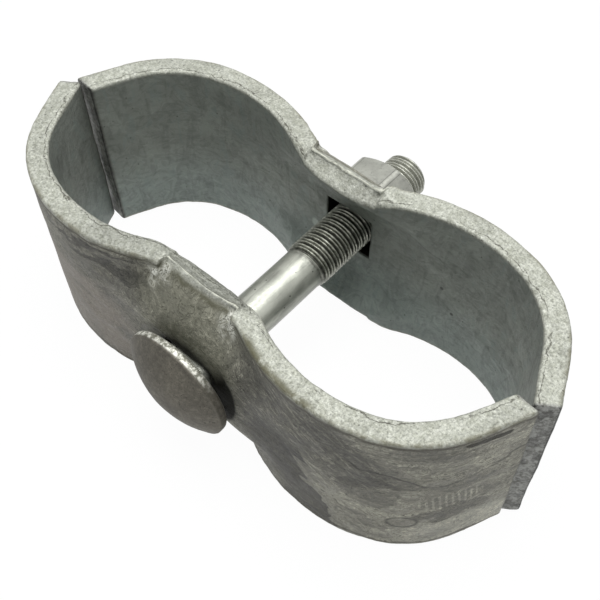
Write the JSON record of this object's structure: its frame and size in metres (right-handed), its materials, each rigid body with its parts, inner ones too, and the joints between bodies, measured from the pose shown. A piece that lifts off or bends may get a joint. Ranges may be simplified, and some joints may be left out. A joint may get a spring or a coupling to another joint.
{
  "type": "panel clamp",
  "caption": "Two pressed galvanised steel saddles on a carriage bolt and hex nut, which clamp a pair of parallel pipes side by side.",
  "frame": {"origin": "on the bolt axis, midway between the two saddles and midway up the straps", "axes": "+X along the straps from one pipe to the other, +Y along the bolt from its head to its tip, +Z along the pipes"},
  "size_m": [0.1102, 0.0689, 0.038],
  "materials": {
    "galvanised_strap": "hot-dip zinc on pressed steel: dull mottled grey faces and lighter grained edges",
    "galvanised_bolt": "hot-dip zinc: satin shank, matte mottled head, bright thread crests",
    "galvanised_nut": "hot-dip zinc: light grey, fine grained"
  },
  "bodies": {
    "front": {"front_saddle": "galvanised_strap", "carriage_bolt": "galvanised_bolt"},
    "rear": {"rear_saddle": "galvanised_strap"},
    "nut": {"hex_nut": "galvanised_nut"}
  },
  "joints": [
    {"name": "rear_slide", "type": "slide", "parent": "front", "child": "rear", "axis": [0, 1, 0], "range_m": [0, 0.00635]},
    {"name": "nut_turn", "type": "hinge", "parent": "rear", "child": "nut", "pos_m": [0, 0.0234, 0], "axis": [0, 1, 0], "range_deg": [0, 1440]}
  ],
  "couplings": [
    {"joint": "nut_turn", "follows": "rear_slide", "rad_per_m": 3957.9}
  ]
}
